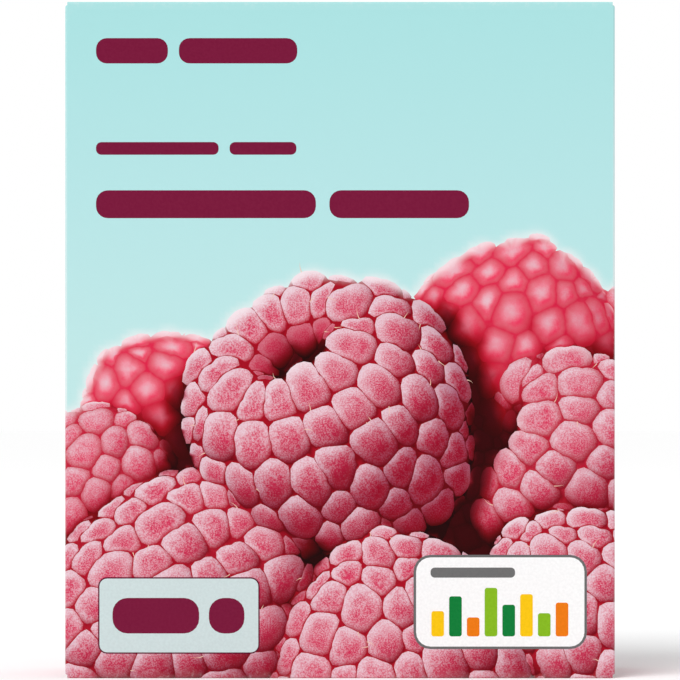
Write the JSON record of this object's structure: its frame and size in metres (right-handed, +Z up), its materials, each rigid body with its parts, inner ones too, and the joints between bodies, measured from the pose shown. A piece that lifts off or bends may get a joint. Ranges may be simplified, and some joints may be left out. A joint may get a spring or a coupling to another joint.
{
  "type": "frozen raspberry carton",
  "caption": "Shut upright folding carton of frozen raspberries, printed in pale teal over a heap of frosted berries, with glued end flaps.",
  "frame": {"origin": "middle of the pack's footprint, on the surface that it stands on", "axes": "+Z up along the pack's height, the printed front faces -Y, +X to the right of someone who looks at the front"},
  "size_m": [0.13, 0.04, 0.16],
  "materials": {
    "printed_board": "satin"
  },
  "bodies": {
    "root": {"carton": "printed_board"}
  },
  "joints": []
}
